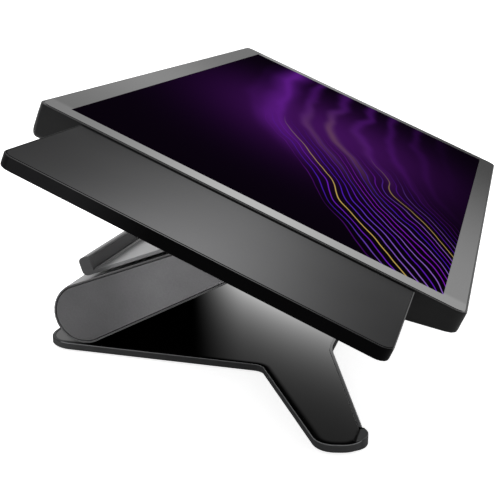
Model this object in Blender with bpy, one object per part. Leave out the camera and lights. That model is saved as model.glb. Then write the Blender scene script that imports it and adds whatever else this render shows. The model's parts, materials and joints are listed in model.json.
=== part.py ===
# Interactive pen display on an ergonomic stand, with a flat side tray.
#
# Frame: +Z up, desk at z = 0, X from the user's left to right, +Y away from
# the user. Origin on the desk, in the stand's middle plane, straight below
# the arm's hinge axis. The rest position has the arm low and the display
# tilted for drawing. Lengths are in millimetres and scaled by MM.

import math

import bmesh
import bpy
from mathutils import Matrix, Vector

MM = 0.001
GAP = 0.3                      # clearance between neighbouring pieces
BORE_PLAY = 0.4                # bore radius over shaft radius
SMOOTH_ANGLE = math.radians(35)
SIDES = (("left", -1), ("right", 1))

# ------------------------------------------------------------ driving sizes
HINGE_Z = 44.0                 # arm hinge height over the desk
TILT = math.radians(23.35)     # display tilt at rest
DISPLAY_Y, DISPLAY_Z = -234.7, 220.6   # centre of the glass face at rest
ELBOW_DEPTH = 95.13            # glass face to tilt axis, along the normal

GLASS_W, GLASS_H = 630.4, 374.8
FRAME_W, FRAME_H = 636.0, 378.8
THICK = 30.4                   # display thickness
CORNER_R = 9.0

ARM_HALF = 128.0               # half width of the arm
DRUM_R, NOSE_R = 33.7, 20.9    # arm housing radii at hinge and elbow

ELBOW_Y = DISPLAY_Y + ELBOW_DEPTH * math.sin(TILT)
ELBOW_Z = DISPLAY_Z - ELBOW_DEPTH * math.cos(TILT)
ARM_LENGTH = math.hypot(ELBOW_Y, ELBOW_Z - HINGE_Z)
ARM_RISE = math.atan2(ELBOW_Z - HINGE_Z, -ELBOW_Y)      # angle over the desk
TAPER = math.asin((DRUM_R - NOSE_R) / ARM_LENGTH)       # arm's top to its axis

# ------------------------------------------------------------------- set-up
for old_object in list(bpy.data.objects):
    bpy.data.objects.remove(old_object, do_unlink=True)
for old_collection in list(bpy.data.collections):
    bpy.data.collections.remove(old_collection)

parts = bpy.data.collections.new("pen_display")
cutters = bpy.data.collections.new("cutters")
bpy.context.scene.collection.children.link(parts)
bpy.context.scene.collection.children.link(cutters)
cutters.hide_render = True


# ---------------------------------------------------------------- materials
def material(name, colour, roughness, metallic=0.0):
    mat = bpy.data.materials.new(name)
    mat.use_nodes = True
    shader = mat.node_tree.nodes["Principled BSDF"]
    shader.inputs["Base Color"].default_value = (*colour, 1.0)
    shader.inputs["Roughness"].default_value = roughness
    shader.inputs["Metallic"].default_value = metallic
    mat.diffuse_color = (*colour, 1.0)
    return mat


GLASS = material("etched_glass", colour=(0.10, 0.10, 0.11), roughness=0.35)
SCREEN = material("screen", colour=(0.03, 0.01, 0.08), roughness=0.3)
FILM = material("diffuser_film", colour=(0.85, 0.85, 0.82), roughness=0.5)
CIRCUIT = material("circuit_board", colour=(0.02, 0.16, 0.08), roughness=0.5)
FRAME_BLACK = material("frame_black", colour=(0.02, 0.02, 0.022), roughness=0.45)
COVER_BLACK = material("cover_black", colour=(0.025, 0.025, 0.027), roughness=0.55)
ALLOY = material("cast_alloy", colour=(0.45, 0.45, 0.46), roughness=0.45, metallic=1.0)
FIN_ALLOY = material("fin_alloy", colour=(0.6, 0.6, 0.6), roughness=0.35, metallic=1.0)
TRAY_BLACK = material("tray_black", colour=(0.03, 0.03, 0.032), roughness=0.4)
TRAY_PAD = material("tray_pad", colour=(0.05, 0.05, 0.053), roughness=0.45)
RUBBER = material("rubber", colour=(0.02, 0.02, 0.02), roughness=0.8)
ARM_GREY = material("arm_grey", colour=(0.06, 0.06, 0.062), roughness=0.5)
ARM_COVER = material("arm_cover_grey", colour=(0.075, 0.075, 0.078), roughness=0.55)
LEVER_GREY = material("lever_grey", colour=(0.07, 0.07, 0.072), roughness=0.4)
BASE_GREY = material("base_grey", colour=(0.06, 0.06, 0.062), roughness=0.4, metallic=0.2)
BASE_GLOSS = material("base_gloss", colour=(0.006, 0.006, 0.007), roughness=0.08)
STEEL = material("steel", colour=(0.6, 0.6, 0.6), roughness=0.3, metallic=1.0)
PLASTIC = material("black_plastic", colour=(0.02, 0.02, 0.02), roughness=0.5)


# ------------------------------------------------------------ moving frames
def empty(name, location, turn_x=0.0):
    marker = bpy.data.objects.new(name, None)
    marker.empty_display_size = 0.03
    marker.location = Vector(location) * MM
    marker.rotation_euler = (turn_x, 0.0, 0.0)
    parts.objects.link(marker)
    return marker


BASE = empty("base_origin", (0, 0, 0))
ARM = empty("arm_axis", (0, 0, HINGE_Z), -ARM_RISE)     # arm runs along -Y
ELBOW = empty("tilt_axis", (0, ELBOW_Y, ELBOW_Z), TILT)
DISPLAY = empty("display_axis", (0, DISPLAY_Y, DISPLAY_Z), TILT)  # +Z out of the glass


# ------------------------------------------------------------------ helpers
def span(half, centre=0.0):
    return (centre - half, centre + half)


def side_span(sign, inner, outer):
    """Rising X range between two distances from the middle plane."""
    return tuple(sorted((sign * inner, sign * outer)))


def finish(name, mesh, parent, mat=None, at=None):
    """Turn a bmesh in millimetres of the parent's frame into an object. It is
    a hidden cutter when no material is given; at is its own origin."""
    if at is not None:
        bmesh.ops.translate(mesh, verts=mesh.verts, vec=-Vector(at))
    bmesh.ops.scale(mesh, vec=(MM, MM, MM), verts=mesh.verts)
    data = bpy.data.meshes.new(name)
    mesh.to_mesh(data)
    mesh.free()
    piece = bpy.data.objects.new(name, data)
    piece.parent = parent
    if at is not None:
        piece.location = Vector(at) * MM
    if mat is None:
        cutters.objects.link(piece)
        piece.hide_render = True
        piece.display_type = "WIRE"
    else:
        parts.objects.link(piece)
        data.materials.append(mat)
        data.shade_smooth()
        data.set_sharp_from_angle(angle=SMOOTH_ANGLE)
    return piece


def absorb(target, extra):
    """Copy one bmesh into another and free it."""
    data = bpy.data.meshes.new("extra")
    extra.to_mesh(data)
    extra.free()
    target.from_mesh(data)
    bpy.data.meshes.remove(data)


def bevel(mesh, edges, offset, steps):
    bmesh.ops.bevel(mesh, geom=edges, offset=offset, segments=steps,
                    profile=0.5, affect="EDGES", clamp_overlap=True)


def edges_at(mesh, axis, level):
    """Edges lying in the plane axis = level."""
    return [e for e in mesh.edges
            if all(abs(getattr(v.co, axis) - level) < 1e-3 for v in e.verts)]


def soften(mesh, axis, level, offset, steps):
    """Bevel the sharp edges lying in the plane axis = level."""
    sharp = [e for e in edges_at(mesh, axis, level) if len(e.link_faces) == 2
             and e.calc_face_angle(0.0) > math.radians(40)]
    bevel(mesh, sharp, offset, steps)


def box_mesh(x, y, z, corner=0.0, corner_steps=4, bottom=0.0, top=0.0,
             edge_steps=2):
    """Box over three (low, high) ranges; corner, bottom and top are the
    radii of its upright, bottom and top edges."""
    mesh = bmesh.new()
    bmesh.ops.create_cube(mesh, size=1.0)
    for v in mesh.verts:
        v.co = (x[v.co.x > 0], y[v.co.y > 0], z[v.co.z > 0])
    if corner > 0:
        upright = [e for e in mesh.edges
                   if abs(e.verts[0].co.z - e.verts[1].co.z) > 1e-3]
        bevel(mesh, upright, corner, corner_steps)
    for radius, level in ((bottom, z[0]), (top, z[1])):
        if radius > 0:
            bevel(mesh, edges_at(mesh, "z", level), radius, edge_steps)
    return mesh


def box(name, x, y, z, parent, mat=None, at=None, **rounding):
    return finish(name, box_mesh(x, y, z, **rounding), parent, mat, at)


# turns from a shape standing along Z to one lying along the named axis
TURNS = {"X": Matrix(((0, 0, 1, 0), (1, 0, 0, 0), (0, 1, 0, 0), (0, 0, 0, 1))),
         "Y": Matrix(((0, 1, 0, 0), (0, 0, 1, 0), (1, 0, 0, 0), (0, 0, 0, 1))),
         "Z": Matrix.Identity(4)}


def lay_along(mesh, axis, ends, centre=(0, 0)):
    """Move a shape centred on the origin between its ends along axis. The
    cross coordinates follow axis: X: y, z; Y: z, x; Z: x, y."""
    middle = (ends[0] + ends[1]) / 2
    bmesh.ops.translate(mesh, verts=mesh.verts, vec=(*centre, middle))
    bmesh.ops.transform(mesh, verts=mesh.verts, matrix=TURNS[axis])


def rod(name, radius, axis, ends, parent, mat=None, centre=(0, 0),
        segments=24, at=None):
    """Cylinder; its centre is in lay_along's cross coordinates."""
    mesh = bmesh.new()
    bmesh.ops.create_cone(mesh, cap_ends=True, cap_tris=False,
                          segments=segments, radius1=radius, radius2=radius,
                          depth=ends[1] - ends[0])
    lay_along(mesh, axis, ends, centre)
    return finish(name, mesh, parent, mat, at)


def prism_mesh(loops, axis, ends):
    """Flat outline, with optional holes, pushed out along axis. Its points
    are in lay_along's cross coordinates."""
    curve = bpy.data.curves.new("outline", "CURVE")
    curve.dimensions = "2D"
    curve.fill_mode = "BOTH"
    curve.extrude = (ends[1] - ends[0]) / 2
    for loop in loops:
        spline = curve.splines.new("POLY")
        spline.points.add(len(loop) - 1)
        for point, cross in zip(spline.points, loop):
            point.co = (*cross, 0.0, 1.0)
        spline.use_cyclic_u = True
    outline = bpy.data.objects.new("outline", curve)
    cutters.objects.link(outline)
    depsgraph = bpy.context.evaluated_depsgraph_get()
    depsgraph.update()
    data = bpy.data.meshes.new_from_object(outline.evaluated_get(depsgraph))
    mesh = bmesh.new()
    mesh.from_mesh(data)
    bpy.data.objects.remove(outline, do_unlink=True)
    bpy.data.curves.remove(curve)
    bpy.data.meshes.remove(data)
    bmesh.ops.remove_doubles(mesh, verts=mesh.verts, dist=1e-3)
    bmesh.ops.dissolve_limit(mesh, angle_limit=math.radians(0.5),
                             verts=mesh.verts, edges=mesh.edges)
    bmesh.ops.recalc_face_normals(mesh, faces=mesh.faces)
    lay_along(mesh, axis, ends)
    return mesh


def prism(name, loops, axis, ends, parent, mat=None):
    return finish(name, prism_mesh(loops, axis, ends), parent, mat)


def boolean(piece, tool, name, operation):
    modifier = piece.modifiers.new(name, "BOOLEAN")
    modifier.operation = operation
    modifier.solver = "EXACT"
    modifier.object = tool


def cut(piece, tool):
    boolean(piece, tool, "cut", "DIFFERENCE")


def join(piece, tool):
    boolean(piece, tool, "join", "UNION")


def circle(radius, steps, centre=(0.0, 0.0)):
    return [(centre[0] + radius * math.cos(2 * math.pi * i / steps),
             centre[1] + radius * math.sin(2 * math.pi * i / steps))
            for i in range(steps)]


def fillet(corners, steps):
    """Round the corners of a polygon given as (x, y, radius)."""
    points = []
    for i, (x, y, radius) in enumerate(corners):
        if radius <= 0:
            points.append((x, y))
            continue
        corner = Vector((x, y))
        back = Vector(corners[i - 1][:2]) - corner
        ahead = Vector(corners[(i + 1) % len(corners)][:2]) - corner
        back.normalize()
        ahead.normalize()
        half = math.acos(max(-1, min(1, back.dot(ahead)))) / 2
        reach = radius / math.tan(half)
        centre = corner + (back + ahead).normalized() * (radius / math.sin(half))
        start = (corner + back * reach) - centre
        end = (corner + ahead * reach) - centre
        sweep = start.angle_signed(end)
        for k in range(steps + 1):
            cosine = math.cos(-sweep * k / steps)
            sine = math.sin(-sweep * k / steps)
            points.append((centre.x + start.x * cosine - start.y * sine,
                           centre.y + start.x * sine + start.y * cosine))
    return points


def inset(corners, distance):
    """Move each side of a counter-clockwise (x, y, radius) polygon inwards,
    keeping its fillets parallel."""
    count = len(corners)
    moved = []
    for i in range(count):
        before, here, after = (Vector(corners[j % count][:2])
                               for j in (i - 1, i, i + 1))
        side_in = (here - before).normalized()
        side_out = (after - here).normalized()
        start_in = before + Vector((-side_in.y, side_in.x)) * distance
        start_out = here + Vector((-side_out.y, side_out.x)) * distance
        turn = side_in.x * side_out.y - side_in.y * side_out.x
        between = start_out - start_in
        along = (between.x * side_out.y - between.y * side_out.x) / turn
        corner = start_in + side_in * along
        radius = corners[i][2] + (-distance if turn > 0 else distance)
        moved.append((corner.x, corner.y, max(radius, 0.5)))
    return moved


def teardrop(big, small, length, steps):
    """Outline round two circles: radius big at the origin, radius small at
    (-length, 0)."""
    half = math.pi / 2 - math.asin((big - small) / length)
    points = [(big * math.cos(-half + 2 * half * i / steps),
               big * math.sin(-half + 2 * half * i / steps))
              for i in range(steps + 1)]
    sweep = 2 * math.pi - 2 * half
    small_steps = max(6, steps - 2)
    points += [(-length + small * math.cos(half + sweep * i / small_steps),
                small * math.sin(half + sweep * i / small_steps))
               for i in range(small_steps + 1)]
    return points


# ===================================================================== base
BASE_TOP, BASE_BOTTOM = 9.0, 1.2
RIM = 3.6                      # width of the rim round the inlay
RECESS_FLOOR, INLAY_TOP = 6.9, 8.5
PAD_Z = (0.0, 0.9)             # rubber feet under the plate

# left half of the plan, (x, y, corner radius): from the rear corner along
# the side and round the leg's tip to the front
LEFT_HALF = [(-128.7, 49.5, 33.0), (-133.6, -199.5, 14.0),
             (-292.0, -290.7, 20.0), (-281.3, -333.7, 21.5),
             (-67.3, -260.2, 75.0)]
OUTLINE = LEFT_HALF + [(-x, y, radius) for x, y, radius in reversed(LEFT_HALF)]

CAP_R, CAP_X, CAP_Y, CAP_TOP = 18.0, 263.6, -311.4, 10.0
# front edge of the right cap, (x, y)
CAP_LIP = [(276.0, -319.0), (268.0, -318.6), (260.0, -320.8), (250.5, -318.8)]
TIP_FOOT_R, TIP_FOOT_X, TIP_FOOT_Y = 14, 267, -301

FLANGE_Z = INLAY_TOP + GAP     # underside of the hinge bracket
EAR_INNER, EAR_OUTER, EAR_R = 36, 48, 14.0
HINGE_SHAFT_R = 8.0


def base_outline(distance=0.0):
    return fillet(inset(OUTLINE, distance) if distance else OUTLINE, 11)


def build_base_plate():
    mesh = prism_mesh([base_outline()], "Z", (BASE_BOTTOM, BASE_TOP))
    soften(mesh, "z", BASE_TOP, 1.2, 2)
    soften(mesh, "z", BASE_BOTTOM, 1.0, 1)
    plate = finish("base_plate", mesh, BASE, BASE_GREY)
    cut(plate, prism("base_recess", [base_outline(RIM)], "Z",
                     (RECESS_FLOOR, 12.0), BASE))
    prism("base_inlay", [base_outline(RIM + GAP)], "Z",
          (RECESS_FLOOR + GAP, INLAY_TOP), BASE, BASE_GLOSS)


def build_leg_cap(side, sign):
    """Rubber cap clipped over the edge at a leg's tip, cut to hug the plate."""
    arc = [(sign * (CAP_X - CAP_R * math.cos(math.radians(deg))),
            CAP_Y - CAP_R * math.sin(math.radians(deg)))
           for deg in range(44, 157, 8)]
    lip = [(sign * x, y) for x, y in CAP_LIP]
    mesh = prism_mesh([arc + lip], "Z", (0.8, CAP_TOP))
    soften(mesh, "z", CAP_TOP, 0.4, 1)
    cap = finish("leg_cap_" + side, mesh, BASE, RUBBER)
    cut(cap, prism("cap_recess_" + side, [base_outline(-GAP)], "Z",
                   (BASE_BOTTOM - GAP, BASE_TOP + GAP), BASE))


def build_feet():
    box("foot_rear", span(104), (-14, 40), PAD_Z, BASE, RUBBER, corner=12,
        corner_steps=3)
    for side, sign in SIDES:
        x = sign * TIP_FOOT_X
        rod("foot_tip_" + side, TIP_FOOT_R, "Z", PAD_Z, BASE, RUBBER,
            centre=(x, TIP_FOOT_Y), segments=20, at=(x, TIP_FOOT_Y, 0))


def build_hinge_bracket():
    """Flange with two ears that carry the hinge shaft."""
    bracket = box("hinge_bracket", span(58), span(19),
                  (FLANGE_Z, FLANGE_Z + 3.2), BASE, ALLOY, corner=4,
                  corner_steps=2)
    ear = [(-15.0, FLANGE_Z + 1.0), (15.0, FLANGE_Z + 1.0)]
    ear += [(EAR_R * math.cos(math.radians(deg)),
             HINGE_Z + EAR_R * math.sin(math.radians(deg)))
            for deg in range(-10, 191, 20)]
    for side, sign in SIDES:
        join(bracket, prism("ear_" + side, [ear], "X",
                            side_span(sign, EAR_INNER, EAR_OUTER), BASE))
    cut(bracket, rod("bracket_bore", HINGE_SHAFT_R + BORE_PLAY, "X", span(60),
                     BASE, centre=(0, HINGE_Z)))
    rod("hinge_shaft", HINGE_SHAFT_R, "X", span(82), BASE, STEEL,
        centre=(0, HINGE_Z), segments=28, at=(0, 0, HINGE_Z))


def build_lift_spring(side, sign):
    """Coil round the hinge shaft, as a curve with a round section."""
    coil_r, wire_r, turns, steps_per_turn = 12.5, 1.4, 4.75, 12
    start, end = side_span(sign, 51.0, 70.0)
    curve = bpy.data.curves.new("lift_spring_" + side, "CURVE")
    curve.dimensions = "3D"
    curve.bevel_depth = wire_r * MM
    curve.bevel_resolution = 1
    curve.use_fill_caps = True
    curve.render_resolution_u = 0
    spline = curve.splines.new("POLY")
    steps = int(turns * steps_per_turn)
    spline.points.add(steps)
    for i, point in enumerate(spline.points):
        angle = 2 * math.pi * i / steps_per_turn
        point.co = ((start + (end - start) * i / steps) * MM,
                    coil_r * math.cos(angle) * MM,
                    coil_r * math.sin(angle) * MM, 1.0)
    spring = bpy.data.objects.new("lift_spring_" + side, curve)
    spring.parent = BASE
    spring.location = (0, 0, HINGE_Z * MM)
    curve.materials.append(STEEL)
    parts.objects.link(spring)


build_base_plate()
for side_name, side_sign in SIDES:
    build_leg_cap(side_name, side_sign)
build_feet()
build_hinge_bracket()
for side_name, side_sign in SIDES:
    build_lift_spring(side_name, side_sign)

# ====================================================================== arm
WALL = 2.0
COVER_GAP = 0.7                # side cover to housing wall
COVER_OUTER, COVER_INNER = ARM_HALF - 0.2, ARM_HALF - 3.8
CHEEK_INNER, CHEEK_OUTER = 73, 79
ELBOW_SHAFT_R = 6.0
ELBOW_BORE = circle(ELBOW_SHAFT_R + BORE_PLAY, 20, (-ARM_LENGTH, 0))


def arm_outline(shrink):
    return teardrop(DRUM_R - shrink, NOSE_R - shrink, ARM_LENGTH, 16)


def ray(degrees, radius):
    """Point at radius, degrees from straight down towards the rear."""
    angle = math.radians(degrees)
    return (radius * math.sin(angle), -radius * math.cos(angle))


def build_arm_housing():
    housing = prism("arm_housing", [arm_outline(0.0), arm_outline(WALL)], "X",
                    span(ARM_HALF), ARM, ARM_GREY)
    # opening under the drum for the bracket's ears, wide enough for the lift
    opening = [(0, 0), ray(-20, 60), ray(20, 75), ray(60, 75), ray(90, 60)]
    cut(housing, prism("drum_opening", [opening], "X", span(62), ARM))
    # fork opening at the elbow for the tilt bracket
    cut(housing, box("fork_opening", span(66),
                     (-ARM_LENGTH - 40, -ARM_LENGTH + 32), span(45), ARM))


def build_side_cover(side, sign):
    mesh = prism_mesh([arm_outline(WALL + COVER_GAP)], "X",
                      side_span(sign, COVER_INNER, COVER_OUTER))
    soften(mesh, "x", sign * COVER_OUTER, 0.5, 1)
    finish("side_cover_" + side, mesh, ARM, ARM_COVER)


def build_arm_frame():
    """Inner frame: two cheeks joined by a web."""
    frame = box("arm_frame", span(75), (-168, -62), span(4), ARM, ALLOY)
    loops = [teardrop(29.2, 15.8, ARM_LENGTH, 12),
             circle(HINGE_SHAFT_R + BORE_PLAY, 24), ELBOW_BORE]
    for side, sign in SIDES:
        join(frame, prism("cheek_" + side, loops, "X",
                          side_span(sign, CHEEK_INNER, CHEEK_OUTER), ARM))


def build_elbow_shaft():
    rod("elbow_shaft", ELBOW_SHAFT_R, "X", span(84), ARM, STEEL,
        centre=(-ARM_LENGTH, 0), at=(0, -ARM_LENGTH, 0))
    for side, sign in SIDES:
        prism("friction_pack_" + side,
              [circle(12.0, 20, (-ARM_LENGTH, 0)), ELBOW_BORE], "X",
              side_span(sign, 60.5, 72.5), ARM, STEEL)


build_arm_housing()
for side_name, side_sign in SIDES:
    build_side_cover(side_name, side_sign)
build_arm_frame()
build_elbow_shaft()

# =============================================================== lift lever
# "along" runs on the arm's top from above the hinge towards the elbow,
# "over" is the height over the arm's top
PIN_ALONG, PIN_OVER = 147.0, 6.2
PIN_R = 1.5
PLATE_LOW, PLATE_HIGH = 3.0, 6.6
# side profile, (along, over, corner radius): plate, low rib, upright grip
LEVER_PROFILE = [
    (140.0, PLATE_LOW, 0), (140.0, PLATE_HIGH, 0.8),
    (36.2, PLATE_HIGH, 0), (35.5, 8.3, 0.4), (33.5, 8.3, 0.4),
    (32.8, PLATE_HIGH, 0), (31.5, PLATE_HIGH, 0),
    (31.0, 23.3, 2.0), (18.9, 23.3, 4.5), (18.0, PLATE_LOW, 6.0)]
# profile of the barrel round the pin, (y, z, corner radius) from the pin
BARREL_PROFILE = [
    (7.8, PLATE_HIGH - PIN_OVER, 0), (3.0, 3.2, 2.0), (-3.2, 3.2, 2.9),
    (-3.2, -3.2, 2.9), (7.8, PLATE_LOW - PIN_OVER, 0)]
STRIP_HALF, STRIP_EAR = 110, 8


def lever_origin():
    """The pin's place in the base's frame."""
    top = Vector((0.0, DRUM_R / math.cos(TAPER)))
    along = Vector((-math.cos(TAPER), -math.sin(TAPER)))
    over = Vector((-math.sin(TAPER), math.cos(TAPER)))
    pin = top + along * PIN_ALONG + over * PIN_OVER
    cosine, sine = math.cos(-ARM_RISE), math.sin(-ARM_RISE)
    return (0, pin.x * cosine - pin.y * sine,
            HINGE_Z + pin.x * sine + pin.y * cosine)


LEVER = empty("lever_axis", lever_origin(), -ARM_RISE + TAPER)


def from_pin(along, over):
    """(y, z) in the lever's frame."""
    return (-(along - PIN_ALONG), over - PIN_OVER)


def build_lever():
    profile = [from_pin(*point) for point in fillet(LEVER_PROFILE, 4)]
    lever = prism("lift_lever", [profile], "X", span(ARM_HALF - 4.0), LEVER,
                  LEVER_GREY)
    join(lever, prism("lever_barrel", [fillet(BARREL_PROFILE, 4)], "X",
                      span(100), LEVER))
    cut(lever, rod("lever_bore", PIN_R + BORE_PLAY, "X", span(120), LEVER,
                   segments=12))
    # long recess in the grip's front face, filled by the pad
    face_y, low = from_pin(31.0, 8.0)
    high = from_pin(31.0, 20.5)[1]
    cut(lever, box("grip_recess", span(116), (face_y - 3.0, face_y + 1.4),
                   (low, high), LEVER))
    box("lever_pad", span(116 - GAP), (face_y, face_y + 1.1),
        (low + GAP, high - GAP), LEVER, RUBBER)


def build_lever_hinge():
    """Strip on the arm's top, with an ear at each end for the pin."""
    strip = box("lever_hinge", span(STRIP_HALF), span(5.5),
                (0.3 - PIN_OVER, 2.5 - PIN_OVER), LEVER, ALLOY)
    for side, sign in SIDES:
        join(strip, box("strip_ear_" + side,
                        side_span(sign, STRIP_HALF - STRIP_EAR, STRIP_HALF),
                        span(4.5), (1.5 - PIN_OVER, 3.6), LEVER, top=1.5))
    cut(strip, rod("strip_bore", PIN_R + BORE_PLAY, "X", span(120), LEVER,
                   segments=12))
    rod("lever_pin", PIN_R, "X", span(111), LEVER, STEEL, segments=12)


build_lever()
build_lever_hinge()

# ================================================ tilt bracket and turntable
# heights over the tilt axis, along the display's normal
FLANGE_TOP = 37.0
TURNTABLE_TOP = 48.8
RING_BOTTOM = TURNTABLE_TOP + GAP
RING_TOP = RING_BOTTOM + 1.0
MOUNT_BOTTOM, MOUNT_STEP = RING_TOP + GAP, 56.3
SPINDLE_R, SPINDLE_TOP = 12.0, 54.1


def build_tilt_bracket():
    bracket = rod("tilt_bracket", 14.0, "X", span(60), ELBOW, ALLOY,
                  segments=28)
    join(bracket, box("neck", span(36), span(11), (0, 33), ELBOW, corner=5,
                      corner_steps=3))
    join(bracket, rod("neck_flange", 40.0, "Z", (30.8, FLANGE_TOP), ELBOW,
                      segments=36))
    cut(bracket, rod("tilt_bore", ELBOW_SHAFT_R + BORE_PLAY, "X", span(80),
                     ELBOW))


def build_turntable():
    turntable = rod("turntable_base", 62.0, "Z",
                    (FLANGE_TOP + GAP, TURNTABLE_TOP), ELBOW, ARM_GREY,
                    segments=48)
    cut(turntable, rod("spindle_bore", SPINDLE_R + BORE_PLAY, "Z", (41.1, 62),
                       ELBOW))
    prism("slip_ring", [circle(60.0, 48), circle(14.0, 24)], "Z",
          (RING_BOTTOM, RING_TOP), ELBOW, FILM)


def over_elbow(*heights):
    """Heights over the tilt axis as z in the display's frame."""
    return tuple(height - ELBOW_DEPTH for height in heights)


def build_mount():
    rod("rotation_spindle", SPINDLE_R, "Z", over_elbow(41.5, SPINDLE_TOP),
        DISPLAY, STEEL)
    mount = rod("mount_plate", 58.0, "Z", over_elbow(MOUNT_BOTTOM, MOUNT_STEP),
                DISPLAY, ALLOY, segments=48)
    square_bottom, = over_elbow(MOUNT_STEP - 1.0)
    join(mount, box("mount_square", span(75), span(75),
                    (square_bottom, -THICK - 0.4), DISPLAY, corner=10,
                    corner_steps=3))
    cut(mount, rod("mount_bore", SPINDLE_R + BORE_PLAY, "Z",
                   over_elbow(41, SPINDLE_TOP + GAP), DISPLAY))


build_tilt_bracket()
build_turntable()
build_mount()

# ========================================================== display housing
GLASS_X, GLASS_Y = GLASS_W / 2, GLASS_H / 2
HALF_W, HALF_H = FRAME_W / 2, FRAME_H / 2
BACK = -THICK                  # underside of the display
RIM_TOP, RIM_R = -0.4, 1.0
FRONT_LOW = -18.9              # underside at the user's edge
SLOPE_END_Y = -138.0           # where the sloping underside turns flat
SLOPE = (THICK + FRONT_LOW) / (SLOPE_END_Y + HALF_H)
EDGE_R, DRAFT = 5.0, 1.0
INNER_X, INNER_FRONT, INNER_REAR = HALF_W - 6.0, -HALF_H + 4.8, HALF_H - 5.8
ARC_DEGREES = (0, 30, 60, 90)

BUTTON_X, BUTTON_Y, BUTTON_Z = 256, HALF_H - 1.4, -9.5
BUTTON_HALF_W, BUTTON_HALF_H = 6, 2.3

FAN_X, FAN_Y, FAN_Z = 125.0, 98.0, -19.5
VENT_R, VENT_PITCH, VENT_COUNT = 24.0, 8, 6
PORT_X, PORT_Y = 205, -120
PORT_HALF_W, PORT_HALF_H = 57, 14

# cross-sections of the tub, (y, underside z, lower edge radius)
STATIONS = [(-HALF_H, FRONT_LOW + 1.5, 2.0),
            (-HALF_H + 0.3, FRONT_LOW + 0.7, 2.0),
            (-HALF_H + 1.0, FRONT_LOW, 2.0)]
STATIONS += [(-HALF_H + depth, FRONT_LOW - SLOPE * depth, radius)
             for depth, radius in ((4.0, 2.4), (CORNER_R, 3.0))]
STATIONS += [(SLOPE_END_Y, BACK, EDGE_R)]
STATIONS += [(HALF_H - 0.6 - EDGE_R + EDGE_R * math.sin(math.radians(deg)),
              BACK + EDGE_R - EDGE_R * math.cos(math.radians(deg)), EDGE_R)
             for deg in ARC_DEGREES]
STATIONS += [(HALF_H - 0.3, -21.0, 4.0), (HALF_H, -17.0, 3.0)]


def housing_section(y, low, edge_r):
    """Closed (x, z) section, following the plan's round corners at the ends."""
    depth = min(HALF_H - abs(y), CORNER_R)
    half = HALF_W - CORNER_R + math.sqrt(max(
        0.0, CORNER_R ** 2 - (CORNER_R - depth) ** 2))
    dip = max(0.0, RIM_R - depth)
    top = RIM_TOP - RIM_R + math.sqrt(max(0.0, RIM_R ** 2 - dip ** 2))
    foot = half - DRAFT * max(0.0, FRONT_LOW + 3.0 - low) / (THICK + FRONT_LOW)
    right = [(half - RIM_R, top), (half - 0.3, top - 0.3),
             (half, top - RIM_R), (half, top - 8.0)]
    right += [(foot - edge_r + edge_r * math.cos(math.radians(deg)),
               low + edge_r - edge_r * math.sin(math.radians(deg)))
              for deg in ARC_DEGREES]
    return right + [(-x, z) for x, z in reversed(right)]


def housing_mesh():
    """Tub lofted along Y. Its underside slopes up at the user's side, and
    its long lower edges and top rim are rounded."""
    mesh = bmesh.new()
    rings = [[mesh.verts.new((x, y, z))
              for x, z in housing_section(y, low, edge_r)]
             for y, low, edge_r in STATIONS]
    for ring, following in zip(rings, rings[1:]):
        for i in range(len(ring)):
            j = (i + 1) % len(ring)
            mesh.faces.new((ring[i], ring[j], following[j], following[i]))
    mesh.faces.new(rings[0])
    mesh.faces.new(rings[-1])
    bmesh.ops.recalc_face_normals(mesh, faces=mesh.faces)
    return mesh


def vent_slots():
    """Slots below each fan, as long as a circle's chords."""
    mesh = bmesh.new()
    for _, sign in SIDES:
        for k in range(VENT_COUNT):
            offset = -20 + VENT_PITCH * k
            half = math.sqrt(VENT_R ** 2 - offset ** 2)
            absorb(mesh, box_mesh(span(half, FAN_X * sign),
                                  span(1.6, FAN_Y + offset),
                                  (BACK - 3, BACK + 4)))
    return finish("vent_slots", mesh, DISPLAY)


def build_display_housing():
    housing = finish("display_housing", housing_mesh(), DISPLAY, FRAME_BLACK)
    cut(housing, box("glass_pocket", span(GLASS_X + GAP), span(GLASS_Y + GAP),
                     (-2.1, 5), DISPLAY, corner=CORNER_R - 1.4))
    cavity = [(INNER_FRONT, 0.0), (INNER_FRONT, FRONT_LOW + 1.0),
              (SLOPE_END_Y + 1.0, BACK + 2.0), (INNER_REAR, BACK + 2.0),
              (INNER_REAR, 0.0)]
    cut(housing, prism("housing_cavity", [cavity], "X", span(INNER_X), DISPLAY))
    cut(housing, box("button_pocket", span(BUTTON_HALF_W + 0.4, BUTTON_X),
                     (HALF_H - 4.8, 200), span(BUTTON_HALF_H + 0.4, BUTTON_Z),
                     DISPLAY))
    cut(housing, vent_slots())
    cut(housing, box("port_pocket", span(PORT_HALF_W, PORT_X),
                     span(PORT_HALF_H, PORT_Y), (BACK - 3, BACK + 1.2),
                     DISPLAY))


def build_housing_fittings():
    box("cover_glass", span(GLASS_X), span(GLASS_Y), (-1.8, 0.0), DISPLAY,
        GLASS, corner=CORNER_R - 1.5)
    box("power_button", span(BUTTON_HALF_W, BUTTON_X), span(2.0, BUTTON_Y),
        span(BUTTON_HALF_H, BUTTON_Z), DISPLAY, PLASTIC,
        at=(BUTTON_X, BUTTON_Y, BUTTON_Z))
    box("port_cover", span(PORT_HALF_W - GAP, PORT_X),
        span(PORT_HALF_H - GAP, PORT_Y), (BACK + 0.1, BACK + 0.9), DISPLAY,
        COVER_BLACK)


build_display_housing()
build_housing_fittings()

# ======================================================== inside the display
# flat layers: name, half width, half height, (bottom, top), material
LAYERS = (
    ("lcd_panel", 303, 172, (-4.0, -2.1), SCREEN),
    ("backlight_unit", 303, 172, (-8.8, -4.3), FILM),
    ("pen_sensor_board", 300, 170, (-10.3, -9.1), CIRCUIT),
    ("chassis_plate", 306, 179, (-12.6, -10.6), ALLOY))

BOARD_Z = (-15.5, -13.9)
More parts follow.
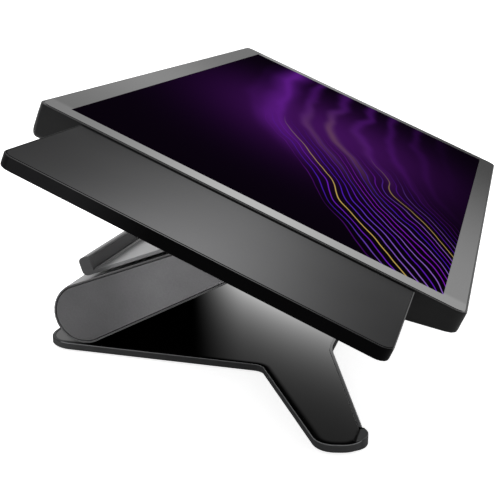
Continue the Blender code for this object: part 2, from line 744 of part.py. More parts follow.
# blocks under the boards: centre x, centre y, width, depth, height
CHIPS = ((0, -40, 34, 34, 3.0), (-48, -20, 18, 12, 1.6),
         (45, -90, 22, 14, 2.2), (-45, -110, 26, 40, 4.0),
         (50, 0, 16, 16, 2.0))
POWER_BLOCKS = ((150, -110, 30, 40, 9.0), (200, -90, 24, 24, 7.0),
                (250, -120, 40, 20, 8.0))

SINK_HALF, SINK_TOP, FIN_ROOT, FIN_TIP = 70.0, -13.6, -16.0, -25.0
FIN_COUNT, FIN_WIDTH = 12, 4.0
FIN_PITCH = 2 * SINK_HALF / 11.6

FAN_HALF, FAN_BORE_R, HUB_R, BLADES = 29, 25.0, 9.5, 7


def build_layers():
    frame = box("inner_frame", span(INNER_X - GAP),
                (INNER_FRONT + GAP, INNER_REAR - GAP), (-17.4, -2.4), DISPLAY,
                ALLOY)
    cut(frame, box("frame_opening", span(308), span(180.6), (-30, 5), DISPLAY))
    for name, half_w, half_h, z_range, mat in LAYERS:
        box(name, span(half_w), span(half_h), z_range, DISPLAY, mat)


def build_board(name, x_range, y_range, block_name, blocks):
    board = box(name, x_range, y_range, BOARD_Z, DISPLAY, CIRCUIT)
    for i, (x, y, width, depth, height) in enumerate(blocks):
        join(board, box(f"{block_name}_{i}", span(width / 2, x),
                        span(depth / 2, y), (BOARD_Z[0] - height, -15.0),
                        DISPLAY))


def build_heat_sink():
    """Comb with its fins down; the last fin takes up the width left over."""
    comb = [(SINK_TOP, -SINK_HALF), (FIN_TIP, -SINK_HALF)]
    for k in range(FIN_COUNT - 1):
        start = -SINK_HALF + k * FIN_PITCH + FIN_WIDTH
        end = start + FIN_PITCH - FIN_WIDTH
        comb += [(FIN_TIP, start), (FIN_ROOT, start),
                 (FIN_ROOT, end), (FIN_TIP, end)]
    comb += [(FIN_TIP, SINK_HALF), (SINK_TOP, SINK_HALF)]
    prism("heat_sink", [comb], "Y", (48, 152), DISPLAY, FIN_ALLOY)


def build_fan(side, sign):
    x = FAN_X * sign
    left, right = span(FAN_HALF, x)
    front, rear = span(FAN_HALF, FAN_Y)
    square = fillet([(left, front, 4), (right, front, 4),
                     (right, rear, 4), (left, rear, 4)], 2)
    prism("fan_housing_" + side, [square, circle(FAN_BORE_R, 28, (x, FAN_Y))],
          "Z", span(5.5, FAN_Z), DISPLAY, PLASTIC)
    wheel = rod("fan_wheel_" + side, HUB_R, "Z", span(4.5, FAN_Z), DISPLAY,
                PLASTIC, centre=(x, FAN_Y), segments=20, at=(x, FAN_Y, FAN_Z))
    mesh = bmesh.new()
    for k in range(BLADES):
        blade = box_mesh((7.5, 23.0), span(0.7), span(3.6))
        bmesh.ops.transform(
            blade, verts=blade.verts,
            matrix=Matrix.Rotation(2 * math.pi * k / BLADES, 4, "Z")
            @ Matrix.Rotation(math.radians(38), 4, "X"))
        absorb(mesh, blade)
    bmesh.ops.translate(mesh, verts=mesh.verts, vec=(x, FAN_Y, FAN_Z))
    join(wheel, finish("blades_" + side, mesh, DISPLAY))


build_layers()
build_board("main_board", span(85), (-150, 30), "chip", CHIPS)
build_board("power_board", (115, 285), (-150, -50), "block", POWER_BLOCKS)
build_heat_sink()
for side_name, side_sign in SIDES:
    build_fan(side_name, side_sign)

# =============================================================== rear grips
GRIP_X, GRIP_LOW = 285.0, -41.0
KEY_COUNT, KEY_FIRST_Y, KEY_PITCH = 4, -31.0, 34.0
KEY_HALF_W, KEY_HALF_H, KEY_Z = 6, 11, -39.4
KEY_PLAY = 0.4


def build_grip(side, sign):
    """Rubber grip on the display's underside, with a row of press keys."""
    x = GRIP_X * sign
    grip = box("grip_" + side, span(13, x), (-60, 100), (GRIP_LOW, BACK - GAP),
               DISPLAY, RUBBER, corner=8, corner_steps=3, bottom=3.5)
    for k in range(KEY_COUNT):
        y = KEY_FIRST_Y + KEY_PITCH * k
        cut(grip, box(f"key_pocket_{side}_{k + 1}",
                      span(KEY_HALF_W + KEY_PLAY, x),
                      span(KEY_HALF_H + KEY_PLAY, y),
                      (GRIP_LOW - 3, -35.6), DISPLAY))
        box(f"express_key_{side}_{k + 1}", span(KEY_HALF_W, x),
            span(KEY_HALF_H, y), span(2.6, KEY_Z), DISPLAY, PLASTIC,
            at=(x, y, KEY_Z), bottom=0.8, edge_steps=1)


for side_name, side_sign in SIDES:
    build_grip(side_name, side_sign)

# ================================================================ side tray
TRAY_X0, TRAY_X1 = -448.6, -319.0
TRAY_Y0, TRAY_Y1 = -146.7, 148.7
TRAY_TOP, TRAY_BOTTOM = -1.5, -11.6

BRACKET_TOP, BRACKET_THICK = TRAY_BOTTOM - GAP, 2.6
BRACKET_FREE_X = -405.0
BRACKET_INNER_X, BRACKET_OUTER_X = -HALF_W - 0.4, -HALF_W - 3.0
BRACKET_LOW = -26.0
SCREW_R, SCREW_X = 7.0, -385


def tray_plan(distance, free_r, display_r, extra=0.0):
    """Plan of the tray inset by distance, with its own radii for the free
    corners and the two beside the display; extra insets the free long side
    further."""
    left, right = TRAY_X0 + distance + extra, TRAY_X1 - distance
    front, rear = TRAY_Y0 + distance, TRAY_Y1 - distance
    return fillet([(left, front, free_r), (right, front, display_r),
                   (right, rear, display_r), (left, rear, free_r)], 5)


def build_tray():
    mesh = prism_mesh([tray_plan(0.0, 10.0, 1.6)], "Z", (TRAY_BOTTOM, TRAY_TOP))
    soften(mesh, "z", TRAY_TOP, 0.5, 2)
    soften(mesh, "z", TRAY_BOTTOM, 1.2, 2)
    tray = finish("tray_shell", mesh, DISPLAY, TRAY_BLACK)
    cut(tray, prism("pad_pocket", [tray_plan(0.9, 8.6, 0.8, 1.3)], "Z",
                    (TRAY_TOP - 1.8, 3.0), DISPLAY))
    prism("tray_pad", [tray_plan(1.2, 8.3, 0.6, 2.1)], "Z",
          (TRAY_TOP - 1.5, TRAY_TOP - 0.1), DISPLAY, TRAY_PAD)


def build_tray_bracket(end, y):
    """Angle under the tray, bent down beside the display, and its screw."""
    underside = BRACKET_TOP - BRACKET_THICK
    profile = [(BRACKET_TOP, BRACKET_FREE_X), (BRACKET_TOP, BRACKET_INNER_X),
               (BRACKET_LOW, BRACKET_INNER_X), (BRACKET_LOW, BRACKET_OUTER_X),
               (underside, BRACKET_OUTER_X), (underside, BRACKET_FREE_X)]
    prism("tray_bracket_" + end, [profile], "Y", span(20, y), DISPLAY, ALLOY)
    rod("tray_screw_" + end, SCREW_R, "Z",
        (BRACKET_TOP - 8.5, underside - GAP), DISPLAY, STEEL,
        centre=(SCREW_X, y), segments=18)


build_tray()
build_tray_bracket("front", -92.0)
build_tray_bracket("rear", 98.0)
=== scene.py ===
"""Pen drawing tablet on its lift stand, in a white studio.

Metres, z up. The user sits on the -y side, so -x is the user's left and +y the rear.
"""

import json
import math

import bpy
from mathutils import Matrix, Vector


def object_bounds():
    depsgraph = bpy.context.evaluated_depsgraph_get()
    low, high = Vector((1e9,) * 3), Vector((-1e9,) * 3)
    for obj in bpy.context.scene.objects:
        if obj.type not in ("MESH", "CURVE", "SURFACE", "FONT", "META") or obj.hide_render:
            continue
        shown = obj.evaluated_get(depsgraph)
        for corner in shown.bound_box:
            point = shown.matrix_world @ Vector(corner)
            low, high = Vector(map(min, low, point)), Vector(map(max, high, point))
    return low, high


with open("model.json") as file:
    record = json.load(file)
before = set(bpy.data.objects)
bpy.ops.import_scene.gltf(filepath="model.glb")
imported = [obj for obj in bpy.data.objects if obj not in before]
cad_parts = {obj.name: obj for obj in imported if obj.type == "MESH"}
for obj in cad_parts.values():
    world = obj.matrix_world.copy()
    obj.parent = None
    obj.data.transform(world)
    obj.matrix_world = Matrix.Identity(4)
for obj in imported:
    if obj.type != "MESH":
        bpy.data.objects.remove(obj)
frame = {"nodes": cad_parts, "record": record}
NODES = frame["nodes"]
SLOT = {part["node"]: part["material_slot"] for part in frame["record"]["subparts"]}
cad_lo, cad_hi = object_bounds()

DEGREES = 180 / math.pi
WHITE = (1, 1, 1, 1)

# the display's own frame: centre of the glass face, tilt, and size of the picture
GLASS_AT = Vector((0.0, -0.2347, 0.2206))
TILT = math.radians(23.35)
ACTIVE_W, ACTIVE_H = 0.5967, 0.3357

# corners of the base's outer edge on +x, rear to leg tip: x, y, corner radius
BASE_CORNERS = [
    (0.1287, 0.0495, 0),
    (0.1336, -0.1995, 0.014),
    (0.2920, -0.2907, 0.020),
    (0.2813, -0.3337, 0.0215),
    (0.2580, -0.3257, 0),
]
CORNER_CUTS = 4

# bevel on the sharp edges, mm
EDGE = {
    "display_housing": 0.45, "tray_shell": 0.35, "tray_pad": 0.15, "cover_glass": 0.2,
    "arm_housing": 0.5, "side_cover_left": 0.35, "side_cover_right": 0.35,
    "lift_lever": 1.1, "lever_pad": 0.3, "base_plate": 0.3, "base_inlay": 0.12,
    "leg_cap_left": 0.4, "leg_cap_right": 0.4, "tilt_bracket": 0.5,
    "turntable_base": 0.5, "port_cover": 0.2, "grip_left": 0.4, "grip_right": 0.4,
    "hinge_bracket": 0.6, "mount_plate": 0.5, "power_button": 0.3,
}
KEY_EDGE, OTHER_EDGE = 0.4, 0.2  # the express keys, and every piece not listed

FLOOR_RADIUS = 80
FLOOR_GAP = 0.0002

scene = bpy.context.scene
scene.view_settings.view_transform = "Standard"


# ------------------------------------------------------------ node helpers
class Value:
    """An output socket in a node tree, with arithmetic on it."""

    def __init__(self, tree, socket):
        self.tree, self.socket = tree, socket

    def op(self, kind, *others, node="Math", output=0):
        inputs = dict(enumerate((self, *others)))
        return value(self.tree, node, inputs, output, operation=kind)

    def vector_op(self, kind, *others, output=0):
        return self.op(kind, *others, node="VectorMath", output=output)

    def __add__(self, x):
        return self.op("ADD", x)

    def __sub__(self, x):
        return self.op("SUBTRACT", x)

    def __mul__(self, x):
        return self.op("MULTIPLY", x)

    def __truediv__(self, x):
        return self.op("DIVIDE", x)

    def __pow__(self, x):
        return self.op("POWER", x)

    def __neg__(self):
        return self * -1.0

    def abs(self):
        return self.op("ABSOLUTE")

    def rest(self, share=1.0):
        """1 less a share of the value."""
        return self * -share + 1.0

    def heading(self, x):
        """Angle of (x, self) round from the x axis, in degrees."""
        return self.op("ARCTAN2", x) * DEGREES

    def rise(self):
        """Angle above level of a unit direction with this z, in degrees."""
        return self.op("ARCSINE") * DEGREES

    def ramp(self, start, end, lo=0.0, hi=1.0):
        """Smooth ramp from lo at start to hi at end."""
        if start > end:
            start, end, lo, hi = end, start, hi, lo
        return value(self.tree, "MapRange",
                     {"Value": self, "From Min": start, "From Max": end,
                      "To Min": lo, "To Max": hi},
                     "Result", interpolation_type="SMOOTHSTEP")

    def between(self, lo, hi, tail=0.3):
        """Noise spread from lo to hi, with both tails of its range cut off."""
        return self.ramp(tail, 1 - tail, lo, hi)

    def bell(self, centre, width):
        """1 at centre, falling off on both sides."""
        return (-((self - centre) / width) ** 2).op("EXPONENT")


def fill(node, inputs):
    """Links or sets each named or numbered input."""
    for key, x in inputs.items():
        if isinstance(x, Value):
            x.tree.links.new(x.socket, node.inputs[key])
        else:
            node.inputs[key].default_value = x


def add_node(tree, kind, inputs=None, **settings):
    node = tree.nodes.new("ShaderNode" + kind)
    for name, setting in settings.items():
        setattr(node, name, setting)
    fill(node, inputs or {})
    return node


def value(tree, kind, inputs=None, output=0, **settings):
    """One output of a new node."""
    return Value(tree, add_node(tree, kind, inputs, **settings).outputs[output])


def split(vector):
    node = add_node(vector.tree, "SeparateXYZ", {0: vector})
    return [Value(vector.tree, socket) for socket in node.outputs]


def combine(x, y):
    return value(x.tree, "CombineXYZ", {0: x, 1: y})


def normal_parts(tree):
    return split(value(tree, "NewGeometry", output="Normal"))


def noise(vector, scale, detail=2.0, rough=0.5, stretch=None):
    if stretch:
        vector = value(vector.tree, "Mapping", {0: vector, "Scale": stretch})
    return value(vector.tree, "TexNoise",
                 {"Scale": scale, "Detail": detail, "Roughness": rough, "Vector": vector},
                 "Fac")


def blend(share, first, second):
    """Mix of two colours, each a value or a red, green, blue triple."""
    first, second = (x if isinstance(x, Value) else (*x, 1.0) for x in (first, second))
    return value(share.tree, "Mix", {0: share, 6: first, 7: second}, 2, data_type="RGBA")


def parts(mat):
    """A material's tree, its shader and a new object coordinate."""
    tree = mat.node_tree
    where = value(tree, "TexCoord", output="Object")
    return tree, tree.nodes["Principled BSDF"], where


def new_material(name):
    mat = bpy.data.materials.new(name)
    mat.use_nodes = True
    return mat, *parts(mat)


def display_coords(where):
    """x and y over the glass, and height above it."""
    return value(where.tree, "Mapping",
                 {"Location": GLASS_AT, "Rotation": (TILT, 0, 0), 0: where},
                 vector_type="TEXTURE")


def add_bump(shader, height, depth, strength=1.0):
    """Bump of a height value, depth in mm."""
    fill(shader, {"Normal": value(height.tree, "Bump", {
        "Strength": strength, "Distance": depth / 1000, "Height": height})})


def scale_colour(shader, gain):
    """Scales what is linked to the base colour."""
    colour = Value(gain.tree, shader.inputs["Base Color"].links[0].from_socket)
    fill(shader, {"Base Color": value(gain.tree, "VectorMath", {0: colour, "Scale": gain},
                                      operation="SCALE")})


def sheen(level):
    """A studio card mirrored in a surface: shows at low angles and dies away when the
    surface is seen from above."""
    facing = value(level.tree, "LayerWeight", {"Blend": 0.5}, "Facing")
    return level * facing.ramp(0.22, 0.60)


def add_sheen(shader, level, tint=WHITE):
    fill(shader, {"Emission Strength": sheen(level), "Emission Color": tint})


def card_in(tree):
    """How bright a studio card is in the direction a level surface mirrors."""
    geometry = add_node(tree, "NewGeometry")
    incoming, normal = (Value(tree, geometry.outputs[key])
                        for key in ("Incoming", "True Normal"))
    x, y, z = [-part for part in split(incoming.vector_op("REFLECT", normal))]
    heading = y.heading(x)
    rise = z.rise()
    # the card's slanting lower edge glows most and fades upward
    slant = rise + (heading - 11.0) * 0.5
    fade = ((slant.op("MAXIMUM", 20.4) - 21.9) * -0.78).op("EXPONENT")
    # headings the card spans, and a plain second card further to the rear
    window = heading.ramp(19.0, 15.6) * heading.ramp(-60.0, -5.0)
    return ((fade * 0.150 * heading.ramp(9.0, 15.0, lo=0.55) + 0.014) * window
            + heading.ramp(25.3, 26.9) * heading.ramp(60.0, 40.0) * 0.13)


# ------------------------------------------------------------ the base's outer edge
def rounded(corners):
    """Line through the corners, each inner one rounded to its radius."""
    line = [Vector(corners[0][:2])]
    for before, (x, y, radius), after in zip(corners, corners[1:], corners[2:]):
        corner = Vector((x, y))
        back = (Vector(before[:2]) - corner).normalized()
        onward = (Vector(after[:2]) - corner).normalized()
        half = back.angle(onward) / 2
        centre = corner + (back + onward).normalized() * (radius / math.sin(half))
        start = corner + back * (radius / math.tan(half))
        end = corner + onward * (radius / math.tan(half))
        for k in range(CORNER_CUTS + 1):
            spoke = (start - centre).lerp(end - centre, k / CORNER_CUTS).normalized()
            line.append(centre + spoke * radius)
    return line + [Vector(corners[-1][:2])]


BASE_EDGE = rounded(BASE_CORNERS)


def edge_distance(where):
    """Distance in plan from a point, mirrored to +x, to the base's outer edge."""
    x, y, _z = split(where)
    place = combine(x.abs(), y)
    least = None
    for start, end in zip(BASE_EDGE, BASE_EDGE[1:]):
        run = end - start
        offset = place.vector_op("SUBTRACT", (*start, 0))
        along = offset.vector_op("DOT_PRODUCT", (*(run / run.length_squared), 0),
                                 output="Value")
        along = along.op("MAXIMUM", 0.0).op("MINIMUM", 1.0)
        gap = offset.vector_op("SUBTRACT", combine(along * run.x, along * run.y))
        distance = gap.vector_op("LENGTH", output="Value")
        least = least.op("MINIMUM", distance) if least else distance
    return least


# ------------------------------------------------------------ materials
def surface(name, colour, *, rough, metal=0.0, spec=0.5, grain=0.5, depth=0.02,
            mottle=0.08, spread=0.06, streak=None, tint=None, facing=None, along=None,
            corner=None):
    """Moulded, painted or cast surface with a fine grain and a soft mottling.

    grain and depth are the grain's width and depth in mm; mottle is the colour's swing
    and tint its lighter end; spread is the swing in roughness; streak stretches both noises.
    Painted light and shade: the colour is scaled by facing (level faces, rounded edges),
    along (a ramp in y: start, end, scale at each) and corner (faces to the rear, to the
    user).
    """
    mat, tree, shader, where = new_material(name)
    coarse = noise(where, 14.0, detail=3.0, rough=0.55, stretch=streak)
    fine = noise(where, 1000.0 / grain, rough=0.6, stretch=streak)
    dark = tuple(c * (1 - mottle) for c in colour)
    light = tuple(c * (1 + mottle) for c in (tint or colour))
    mix = (coarse * 0.7 + fine * 0.3).between(0.0, 1.0)
    fill(shader, {"Base Color": blend(mix, dark, light)})
    gain = None
    # painted light: level faces and rounded edges scaled by facing
    if facing:
        on_level, on_rounded = facing
        up = normal_parts(tree)[2]
        gain = (up.ramp(0.12, 0.5, lo=1.0, hi=on_rounded)
                + up.ramp(0.90, 0.985, hi=on_level - on_rounded))
    # painted light and shade: a gradient in brightness along y
    if along:
        y_scale = split(where)[1].ramp(*along)
        gain = gain * y_scale if gain else y_scale
    # painted light on faces turned to the rear and to the user, scaled by corner
    if corner:
        to_rear, to_user = corner
        rearward = normal_parts(tree)[1]
        turned = (rearward.ramp(0.05, 0.65, hi=to_rear - 1)
                  + rearward.ramp(-0.05, -0.60, hi=to_user - 1) + 1.0)
        gain = gain * turned if gain else turned
    if gain:
        scale_colour(shader, gain)
    fill(shader, {
        "Roughness": (coarse.between(rough - spread / 2, rough + spread / 2)
                      + (fine - 0.5) * spread),
        "Metallic": metal,
        "Specular IOR Level": spec,
    })
    add_bump(shader, fine, depth)
    return mat


def base_paint():
    """Satin grey paint, with a painted highlight on the rounded outer edge, painted shade on
    the rim's top and a painted card reflection inside the rim.
    """
    mat = surface("base_paint", (0.086, 0.087, 0.089), rough=0.45, grain=0.7,
                  depth=0.012, spec=0.0)
    tree, shader, where = parts(mat)
    y = split(where)[1]
    up = normal_parts(tree)[2]
    edge = edge_distance(where)
    outer = edge.ramp(0.0018, 0.0028, lo=1.0, hi=0.0)
    rim = edge.ramp(0.0055, 0.0080, lo=1.0, hi=0.0) * y.ramp(0.020, -0.015)
    level = up.ramp(0.90, 0.985)
    # painted highlight on upward faces: scale 5 at the outer edge, a half inside it
    upward = up.ramp(0.12, 0.5) * (outer * 4.5 - 0.5) + 1.0
    # painted shade: the rim's level top is darkened to 0.04 near the outer edge, on the
    # user's side
    scale_colour(shader, upward * level.rest() + level * rim.rest(0.96))
    # level paint inside the rim mirrors the card, on the user's side
    mirrored = rim.rest() * level * y.ramp(-0.15, -0.25)
    add_sheen(shader, card_in(tree) * mirrored * 0.75)
    return mat


def arm_paint():
    """Satin arm paint, with painted light on its level faces and rounded edges, and painted
    deep shade in the narrow gap beside the lever.
    """
    mat = surface("arm_paint", (0.14, 0.14, 0.143), rough=0.42, grain=0.7, depth=0.014,
                  mottle=0.06, facing=(2.3, 1.6))
    tree, shader, where = parts(mat)
    x, y, _z = split(where)
    up = normal_parts(tree)[2]
    # painted shade mask: the gap's two sides, its upward faces, and its rear and user ends
    gap = (x.abs().ramp(0.1215, 0.1225) * x.abs().ramp(0.1268, 0.1262)
           * up.ramp(0.2, 0.5) * y.ramp(-0.006, -0.018) * y.ramp(-0.128, -0.122))
    keep = gap.rest(0.97)
    scale_colour(shader, keep)
    fill(shader, {"Specular IOR Level": keep * 0.5})
    return mat


def base_gloss():
    """Glossy black lacquer with a very faint orange peel, and a painted reflection of the
    edge of a studio card."""
    mat, tree, shader, where = new_material("base_gloss_black")
    fill(shader, {
        "Base Color": (0.0012, 0.0012, 0.0013, 1),
        "Roughness": noise(where, 22.0, detail=3.0).between(0.10, 0.13),
        "Specular IOR Level": 0.0,
    })
    add_bump(shader, noise(where, 160.0, detail=1.0), depth=0.01, strength=0.25)
    # painted shade: the mirrored card dies out close to the outer edge
    add_sheen(shader, card_in(tree) * edge_distance(where).ramp(0.0036, 0.0095, lo=0.02))
    return mat


def tray_pad():
    """Satin soft-touch pad set into the tray, with a soft card glow along it."""
    mat, _tree, shader, where = new_material("tray_pad_satin")
    x, y, _z = split(display_coords(where))
    fine = noise(where, 1400.0, rough=0.6)
    coarse = noise(where, 11.0)
    fill(shader, {
        "Base Color": blend(coarse.between(0.0, 1.0), (0.0075, 0.0075, 0.008),
                            (0.0095, 0.0095, 0.010)),
        "Roughness": coarse.between(0.46, 0.52) + (fine - 0.5) * 0.06,
        "Specular IOR Level": 0.02,
    })
    add_bump(shader, fine, depth=0.01)
    # brightest at mid height, fading toward +x
    glow = y.bell(centre=0.0, width=0.081) * ((x + 0.384) * -4.6 + 1.0) * 0.123 + 0.003
    add_sheen(shader, glow * fine.between(0.93, 1.07, tail=0.2), (0.985, 0.985, 1.0, 1))
    return mat


def tray_shell():
    """Black tray body: near black at the user end, with painted light making it a little
    lighter to the rear.
    """
    mat, tree, shader, where = new_material("tray_black")
    x, y, z = split(display_coords(where))
    fine = noise(where, 1200.0, rough=0.6)
    rearward = normal_parts(tree)[1]
    # painted light on the rear part, less so on faces turned to the rear
    rear = y.ramp(0.02, 0.12) * (rearward.ramp(0.0, 0.30) * -0.75 + 1.25)
    fill(shader, {
        "Base Color": blend(rear, (0.0008, 0.0007, 0.0010), (0.018, 0.018, 0.019)),
        "Roughness": fine.between(0.40, 0.48, tail=0.2),
        "Specular IOR Level": 0.03,
    })
    # card glow on the thin top rim: along the left side, and across the user end
    rim = (x.ramp(-0.44855, -0.4482) * x.ramp(-0.4470, -0.4476)
           * z.ramp(-0.0024, -0.0018))
    user_end = y.ramp(-0.1456, -0.1459) * z.ramp(-0.0024, -0.0018)
    rim_glow = y.bell(centre=0.02, width=0.085) * 0.17 + 0.005
    add_sheen(shader, rim * rim_glow + user_end * 0.09)
    add_bump(shader, fine, depth=0.01)
    return mat


def crest(phase, sharp):
    """Bands at every full turn of the phase, thinner as sharp grows."""
    return (phase.op("COSINE") * 0.5 + 0.5) ** sharp


def picture(x, y):
    """What the screen shows: a dark violet ground with a soft haze, thin level lines
    of a made-up hill, and a few of them in gold. Returns the colour."""
    # u and v run from 0 to 1 over the picture
    u, v = x / ACTIVE_W + 0.5, y / ACTIVE_H + 0.5
    flat = combine(u, v)
    wander = noise(flat, 3.2, detail=1.5, rough=0.45) - 0.5
    ripple = noise(flat, 9.0, detail=1.0, rough=0.4) - 0.5

    # the hill's outline, depth under it, and level lines counted down from it
    hill = (u.ramp(-0.10, 0.62, lo=0.14, hi=0.80) + (u * 8.0 + 0.6).op("SINE") * 0.035
            + wander * 0.16)
    under = hill - v
    count = under * 36.0 + ripple * 1.3
    thin = crest(count * (2 * math.pi), sharp=18.0)
    # a random number for each line
    pick = ((count.op("ROUND") * 12.9898).op("SINE") * 4375.85).op("FRACT")

    # where the lines show on the left, and the soft bands on the right
    left = u.ramp(0.56, 0.18) * under.ramp(-0.02, 0.05) * under.ramp(0.62, 0.30)
    soft = crest(count * 1.6 + u * 5.0, sharp=3.0)
    right = u.ramp(0.28, 0.62) * under.ramp(-0.10, 0.08) * under.ramp(0.75, 0.30)
    # lines 3 and 14 are gold
    gold = ((count - 3.0).abs().op("LESS_THAN", 0.5)
            + (count - 14.0).abs().op("LESS_THAN", 0.5))

    # ground: haze in the middle, violet bands and hill rim, a warm patch
    haze = u.bell(centre=0.57, width=0.23) * v.bell(centre=0.52, width=0.36)
    rim = under.bell(centre=0.03, width=0.05) * u.ramp(0.25, 0.5)
    ground = blend(haze, (0.0016, 0.0001, 0.0026), (0.046, 0.0050, 0.086))
    ground = blend(rim * 0.55 + right * soft * 0.30, ground, (0.115, 0.012, 0.250))
    warm = count.bell(centre=9.0, width=3.0) * u.bell(centre=0.55, width=0.16)
    ground = blend(warm * soft * 0.45, ground, (0.16, 0.085, 0.050))

    # lines: purple or blue-violet, some paler near the bottom, then the gold
    line = blend(pick.ramp(0.2, 0.6), (0.25, 0.018, 0.58), (0.085, 0.014, 0.56))
    line = blend(pick.ramp(0.72, 0.80) * v.ramp(0.35, 0.05), line, (0.32, 0.14, 0.66))
    line = blend(gold, line, (0.66, 0.46, 0.115))
    return blend(thin * left, ground, line)


def glass():
    """Etched cover glass: dark printed border outside with a painted card reflection on it,
    the lit picture inside.
    """
    mat, tree, shader, where = new_material("etched_cover_glass")
    x, y, _z = split(display_coords(where))
    inside = (x.abs().op("LESS_THAN", ACTIVE_W / 2)
              * y.abs().op("LESS_THAN", ACTIVE_H / 2))
    outside = inside.rest()
    fine = noise(where, 2200.0, detail=1.0, rough=0.6)
    # masks of the border's left, user and rear sides; what is left is its right
    left = x.ramp(-0.290, -0.299)
    user = y.ramp(-0.160, -0.169)
    rear = y.ramp(0.160, 0.169)
    not_left = left.rest()
    # card glow along each side
    glow_left = (y.bell(centre=0.005, width=0.095) * 0.26 + y.ramp(0.10, -0.15) * 0.10
                 + 0.17)
    glow_user = x.ramp(0.30, -0.33) * 0.215 + 0.002
    glow_rear = x.bell(centre=-0.08, width=0.17) * 0.09 + 0.11
    glow_right = y.ramp(-0.14, 0.08) * 0.20 + 0.01
    others = glow_user * user + glow_rear * rear + glow_right * (user + rear).rest()
    glow = glow_left * left + others * not_left
    border_gain = 0.92
    fill(shader, {
        "Base Color": outside * 0.0172 + 0.0008,
        "Roughness": inside * -0.10 + 0.44 + (fine - 0.5) * 0.06,
        "Specular IOR Level": outside * 0.01,
    })
    seen = sheen(glow * fine.between(0.95, 1.05, tail=0.2) * border_gain)
    border = value(tree, "CombineColor", {0: seen, 1: seen, 2: seen})
    fill(shader, {"Emission Color": blend(inside, border, picture(x, y)),
                  "Emission Strength": 1.0})
    add_bump(shader, fine, depth=0.004)
    return mat


def panel():
    """The LCD behind the glass shows the same picture."""
    mat, _tree, shader, where = new_material("lcd_picture")
    x, y, _z = split(display_coords(where))
    fill(shader, {
        "Base Color": (0.01, 0.01, 0.014, 1),
        "Roughness": noise(where, 40.0).between(0.30, 0.36),
        "Emission Color": picture(x, y),
        "Emission Strength": 1.0,
    })
    return mat


def leg_cap():
    """Rubber cap on a leg's tip, with painted light on its level faces and rounded edges,
    and painted shade in the notches round its tab.
    """
    mat = surface("leg_cap_rubber", (0.050, 0.051, 0.053), rough=0.55, spec=0.4,
                  grain=0.8, depth=0.03, mottle=0.12, facing=(1.2, 1.7))
    _tree, shader, where = parts(mat)
    x, y, _z = split(where)
    # centre of the cap: distance out to either side, and toward the user
    centre_out, centre_user = 0.2636, 0.3114
    turn = (-y - centre_user).heading(-x.abs() + centre_out)
    # painted shade in the notches: near black outside the turn from 51 to 150 degrees and to
    # the rear of y -0.321
    lines = (turn.ramp(46.0, 51.0, lo=0.04) * turn.ramp(155.0, 150.0, lo=0.04)
             * y.ramp(-0.3208, -0.3222, lo=0.06))
    scale_colour(shader, lines)
    fill(shader, {"Specular IOR Level": lines * 0.4})
    return mat


# by the CAD's material slot, or by the node's own name
MATS = {
    # painted shade toward the casing's user end (along), painted light on faces turned to
    # the rear and a little on those turned to the user (corner)
    "frame_black": surface("display_casing_black", (0.016, 0.016, 0.0166), rough=0.46,
                           spec=0.22, grain=1.6, depth=0.05, mottle=0.12,
                           along=(-0.20, -0.37, 1.0, 0.25), corner=(1.7, 1.1)),
    "cover_black": surface("rear_cover_black", (0.024, 0.024, 0.026), rough=0.55,
                           grain=0.9, depth=0.03),
    "cast_alloy": surface("cast_alloy", (0.36, 0.36, 0.37), rough=0.48, metal=0.85,
                          grain=1.6, depth=0.06, mottle=0.12, spread=0.14),
    "fin_alloy": surface("finned_alloy", (0.62, 0.62, 0.63), rough=0.33, metal=0.95,
                         grain=0.7, depth=0.01, streak=(0.08, 1, 1)),
    "film": surface("white_film", (0.80, 0.80, 0.77), rough=0.6, grain=0.7, depth=0.008,
                    mottle=0.03),
    "circuit_board": surface("board_green", (0.014, 0.12, 0.06), rough=0.38, grain=1.8,
                             depth=0.05, mottle=0.35, tint=(0.03, 0.17, 0.07)),
    "rubber": surface("rubber_black", (0.026, 0.026, 0.027), rough=0.72, spec=0.35,
                      grain=0.6, depth=0.04, mottle=0.15),
    # painted light: the arm cover grows up to twice as bright toward the user end
    "arm_cover_grey": surface("arm_cover_fine_texture", (0.165, 0.163, 0.169),
                              rough=0.56, grain=2.2, depth=0.22, mottle=0.13,
                              along=(-0.022, -0.092, 1.0, 2.0)),
    # painted light: the lever grows from 0.8 to 3.9 times as bright toward the user end
    "lever_grey": surface("lever_paint", (0.095, 0.095, 0.097), rough=0.34, grain=0.7,
                          depth=0.008, mottle=0.06, along=(-0.020, -0.045, 0.80, 3.9)),
    "lever_pad": surface("lever_pad_grey", (0.135, 0.135, 0.137), rough=0.60, spec=0.35,
                         grain=0.9, depth=0.03, mottle=0.10),
    "steel": surface("turned_steel", (0.56, 0.56, 0.57), rough=0.30, metal=0.95,
                     depth=0.01, streak=(1, 0.15, 1)),
    "black_plastic": surface("black_plastic", (0.020, 0.020, 0.021), rough=0.50,
                             grain=0.7),
    "arm_grey": arm_paint(),
    "base_grey": base_paint(),
    "base_gloss": base_gloss(),
    "tray_pad": tray_pad(),
    "tray_black": tray_shell(),
    "etched_glass": glass(),
    "screen": panel(),
}
MATS["leg_cap_left"] = MATS["leg_cap_right"] = leg_cap()


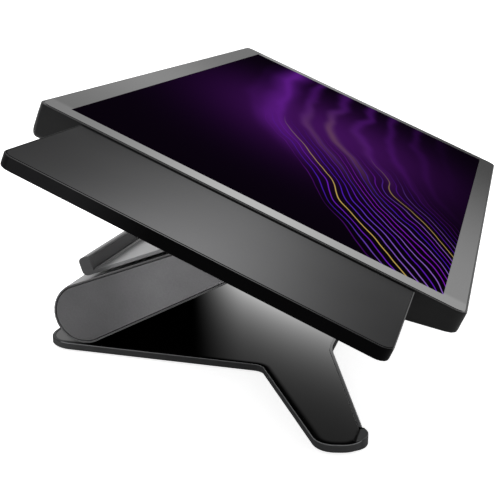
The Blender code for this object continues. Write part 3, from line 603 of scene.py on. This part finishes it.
# ------------------------------------------------------------ the CAD nodes
def dress(name, ob):
    """Welded and planar faces joined, sharp edges rounded, smooth shading."""
    if "custom_normal" in ob.data.attributes:
        ob.data.attributes.remove(ob.data.attributes["custom_normal"])
    for face in ob.data.polygons:
        face.use_smooth = True
    weld = ob.modifiers.new("weld", "WELD")
    weld.merge_threshold = 0.00001
    planar = ob.modifiers.new("plain_faces", "DECIMATE")
    planar.decimate_type, planar.angle_limit = "DISSOLVE", math.radians(0.4)
    bevel = ob.modifiers.new("edges", "BEVEL")
    default = KEY_EDGE if name.startswith("express") else OTHER_EDGE
    bevel.width = EDGE.get(name, default) / 1000
    bevel.segments = 3 if name == "lift_lever" else 2
    bevel.limit_method, bevel.angle_limit = "ANGLE", math.radians(32)
    bevel.use_clamp_overlap = True
    normals = ob.modifiers.new("flat_faces_flat", "WEIGHTED_NORMAL")
    normals.mode, normals.weight, normals.keep_sharp = "FACE_AREA", 60, True
    ob.data.materials.clear()
    ob.data.materials.append(MATS.get(name) or MATS[SLOT[name]])


for node_name, node_object in NODES.items():
    dress(node_name, node_object)


# ------------------------------------------------------------ stage, light, camera
def add_floor():
    """White disc just under the stand, lit up for the camera only."""
    bpy.ops.mesh.primitive_circle_add(vertices=96, radius=FLOOR_RADIUS, fill_type="NGON",
                                      location=(0, 0, cad_lo.z - FLOOR_GAP))
    floor = bpy.context.object
    floor.name = "studio_floor"
    mat, tree, shader, where = new_material("studio_white")
    fill(shader, {
        "Base Color": (0.86, 0.86, 0.86, 1),
        "Roughness": noise(where, 1.5).between(0.80, 0.90),
        "Specular IOR Level": 0.0,
        "Emission Strength": value(tree, "LightPath", output="Is Camera Ray") * 0.82,
        "Emission Color": WHITE,
    })
    floor.data.materials.append(mat)


def light_room():
    """White to the camera; to the rest a room with one bright card."""
    world = bpy.data.worlds.new("studio")
    scene.world = world
    world.use_nodes = True
    tree = world.node_tree
    x, y, z = split(value(tree, "TexCoord", output="Generated"))
    heading = y.heading(x)
    rise = z.rise()
    # brighter toward +x and overhead
    room = x.ramp(-0.9, 0.9, lo=0.22, hi=0.95) + z.ramp(0.2, 1.0) * 0.35
    card = (heading.ramp(19.2, 18.2) * heading.ramp(-70.0, -12.0)
            * rise.ramp(2.0, 9.0) * rise.ramp(62.0, 24.0))
    light = room + card * 0.5
    camera_ray = value(tree, "LightPath", output="Is Camera Ray")
    fill(tree.nodes["Background"], {"Strength": light * camera_ray.rest() + camera_ray,
                                    "Color": WHITE})


def add_softbox(name, at, aim, size, power):
    data = bpy.data.lights.new(name, "AREA")
    data.shape, data.energy = "RECTANGLE", power
    data.size, data.size_y = size
    ob = bpy.data.objects.new(name, data)
    scene.collection.objects.link(ob)
    ob.location = at
    ob.rotation_euler = (Vector(aim) - Vector(at)).to_track_quat("-Z", "Y").to_euler()
    ob.visible_camera = False


def add_camera(at, pitch, heading, lens):
    """Camera looking down by pitch, turned by heading from +x toward +y."""
    ahead = Vector((math.cos(pitch) * math.cos(heading),
                    math.cos(pitch) * math.sin(heading), -math.sin(pitch)))
    right = Vector((math.sin(heading), -math.cos(heading), 0))
    up = right.cross(ahead)
    data = bpy.data.cameras.new("camera")
    data.sensor_width, data.lens = 36.0, lens
    data.clip_start, data.clip_end = 0.02, 200
    ob = bpy.data.objects.new("camera", data)
    scene.collection.objects.link(ob)
    ob.matrix_world = (Matrix.Translation(at)
                       @ Matrix((right, up, -ahead)).transposed().to_4x4())
    scene.camera = ob


add_floor()
light_room()
add_softbox("overhead", at=(0.2, 0.3, 1.9), aim=(0, -0.1, 0.1), size=(1.6, 1.2), power=9.0)
add_camera(at=(-1.035223, -0.435405, 0.393769), pitch=math.radians(15.736),
           heading=math.radians(15.379), lens=70.416)
